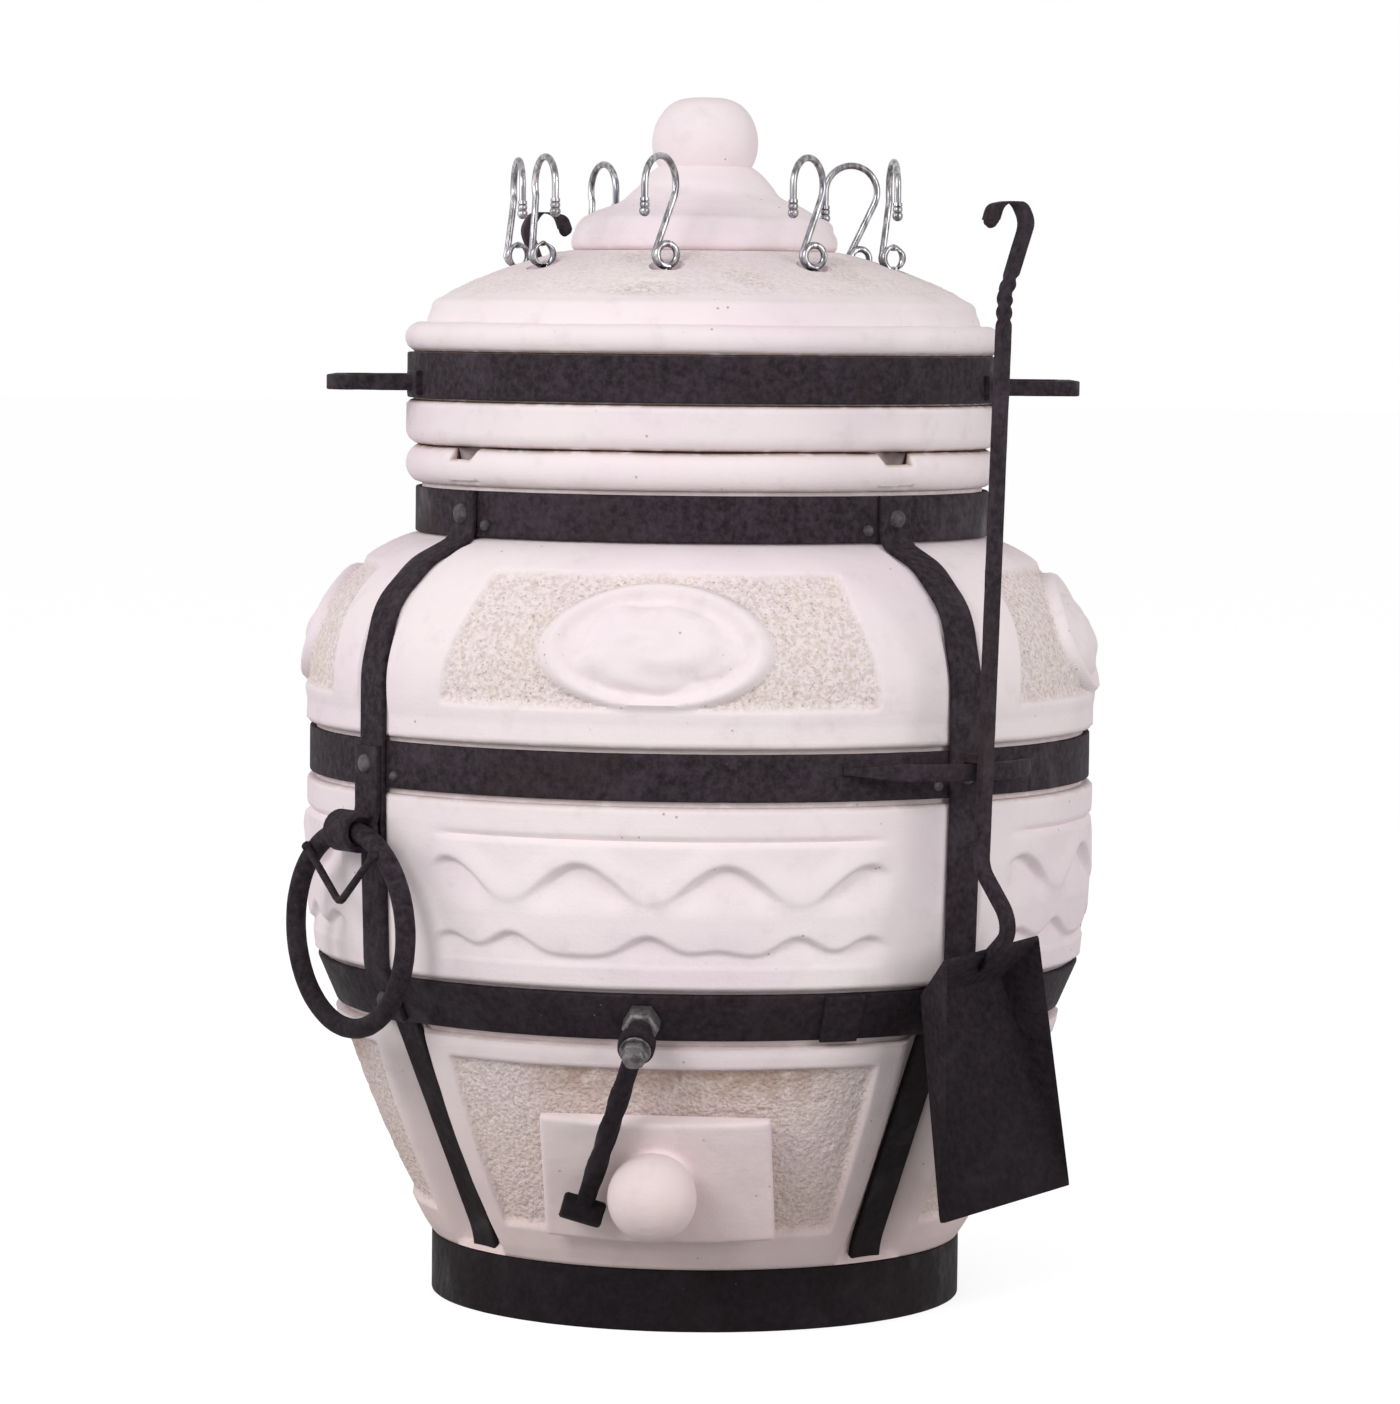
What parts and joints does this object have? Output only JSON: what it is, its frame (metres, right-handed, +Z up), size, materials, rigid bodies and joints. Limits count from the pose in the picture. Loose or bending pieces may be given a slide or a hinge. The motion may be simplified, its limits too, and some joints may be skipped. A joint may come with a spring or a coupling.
{
  "type": "clay tandoor oven",
  "caption": "Portable clay oven in a riveted iron cage, with lid and cap, vent door and latch, carry rings, hanging skewers, shovel and poker.",
  "frame": {"origin": "centre of the base, on the ground", "axes": "+Z up along the pot's axis, the vent door faces -Y"},
  "size_m": [0.5272, 0.5786, 0.796],
  "materials": {
    "clay": "matt fired clay",
    "forged_iron": "blackened, hammered",
    "zinc": "dull zinc",
    "skewer_steel": "polished stainless",
    "grate_iron": "rough cast"
  },
  "bodies": {
    "oven": {"clay_pot": "clay", "base_hoop": "forged_iron", "base_cross": "forged_iron", "lower_hoop": "forged_iron", "lower_hoop_splice": "forged_iron", "belly_hoop": "forged_iron", "neck_hoop": "forged_iron", "upper_strap_1": "forged_iron", "upper_strap_2": "forged_iron", "upper_strap_3": "forged_iron", "upper_strap_4": "forged_iron", "lower_strap_1": "forged_iron", "lower_strap_2": "forged_iron", "lower_strap_3": "forged_iron", "lower_strap_4": "forged_iron", "neck_rivets": "forged_iron", "belly_rivets": "forged_iron", "lower_rivets": "forged_iron", "panel_pins": "forged_iron", "ring_bracket_1": "forged_iron", "ring_bracket_2": "forged_iron", "shovel_holder": "forged_iron", "poker_holder": "forged_iron", "latch_stud": "zinc", "latch_base_nut": "zinc", "latch_spacer": "forged_iron", "latch_washer": "zinc", "latch_cap_nut": "zinc", "ash_grate": "grate_iron"},
    "lid": {"lid_shell": "clay", "lid_hoop": "forged_iron", "lid_handle_1": "forged_iron", "lid_handle_2": "forged_iron"},
    "cap": {"lid_cap": "clay"},
    "door": {"vent_door": "clay"},
    "latch": {"latch_arm": "forged_iron", "latch_head": "forged_iron"},
    "ring_1": {"carry_ring_1": "forged_iron", "ring_brace_1": "forged_iron"},
    "ring_2": {"carry_ring_2": "forged_iron", "ring_brace_2": "forged_iron"},
    "shovel": {"shovel_rod": "forged_iron", "shovel_tray": "forged_iron", "shovel_hanger": "forged_iron"},
    "poker": {"poker_rod": "forged_iron", "poker_hanger": "forged_iron"},
    "skewer_body_1": {"skewer_1": "skewer_steel"},
    "skewer_body_2": {"skewer_2": "skewer_steel"},
    "skewer_body_3": {"skewer_3": "skewer_steel"},
    "skewer_body_4": {"skewer_4": "skewer_steel"},
    "skewer_body_5": {"skewer_5": "skewer_steel"},
    "skewer_body_6": {"skewer_6": "skewer_steel"},
    "skewer_body_7": {"skewer_7": "skewer_steel"},
    "skewer_body_8": {"skewer_8": "skewer_steel"}
  },
  "joints": [
    {"name": "lid_lift", "type": "slide", "parent": "oven", "child": "lid", "axis": [0, 0, 1], "range_m": [0, 0.42]},
    {"name": "cap_lift", "type": "slide", "parent": "lid", "child": "cap", "axis": [0, 0, 1], "range_m": [0, 0.125]},
    {"name": "latch_turn", "type": "hinge", "parent": "oven", "child": "latch", "pos_m": [-0.006, -0.2475, 0.211], "axis": [0, 0.9176, 0.3976], "range_deg": [0, 160]},
    {"name": "door_pull", "type": "slide", "parent": "oven", "child": "door", "axis": [0, -0.9176, -0.3976], "range_m": [0, 0.0202]},
    {"name": "ring_1_swing", "type": "hinge", "parent": "oven", "child": "ring_1", "pos_m": [-0.20238, -0.19205, 0.3205], "axis": [-0.6884, 0.7254, 0], "range_deg": [0, 165]},
    {"name": "ring_2_swing", "type": "hinge", "parent": "oven", "child": "ring_2", "pos_m": [0.20238, 0.19205, 0.3205], "axis": [0.6884, -0.7254, 0], "range_deg": [0, 165]},
    {"name": "shovel_lift", "type": "slide", "parent": "oven", "child": "shovel", "axis": [0.2297, -0.2534, 0.9397], "range_m": [0, 0.32]},
    {"name": "poker_lift", "type": "slide", "parent": "oven", "child": "poker", "axis": [-0.1472, 0.3087, 0.9397], "range_m": [0, 0.32]},
    {"name": "skewer_1_lift", "type": "slide", "parent": "lid", "child": "skewer_body_1", "axis": [0, 0, 1], "range_m": [0, 0.52]},
    {"name": "skewer_2_lift", "type": "slide", "parent": "lid", "child": "skewer_body_2", "axis": [0, 0, 1], "range_m": [0, 0.52]},
    {"name": "skewer_3_lift", "type": "slide", "parent": "lid", "child": "skewer_body_3", "axis": [0, 0, 1], "range_m": [0, 0.52]},
    {"name": "skewer_4_lift", "type": "slide", "parent": "lid", "child": "skewer_body_4", "axis": [0, 0, 1], "range_m": [0, 0.52]},
    {"name": "skewer_5_lift", "type": "slide", "parent": "lid", "child": "skewer_body_5", "axis": [0, 0, 1], "range_m": [0, 0.52]},
    {"name": "skewer_6_lift", "type": "slide", "parent": "lid", "child": "skewer_body_6", "axis": [0, 0, 1], "range_m": [0, 0.52]},
    {"name": "skewer_7_lift", "type": "slide", "parent": "lid", "child": "skewer_body_7", "axis": [0, 0, 1], "range_m": [0, 0.52]},
    {"name": "skewer_8_lift", "type": "slide", "parent": "lid", "child": "skewer_body_8", "axis": [0, 0, 1], "range_m": [0, 0.52]}
  ],
  "couplings": [
    {"joint": "door_pull", "follows": "latch_turn", "m_per_rad": 0.0072}
  ]
}
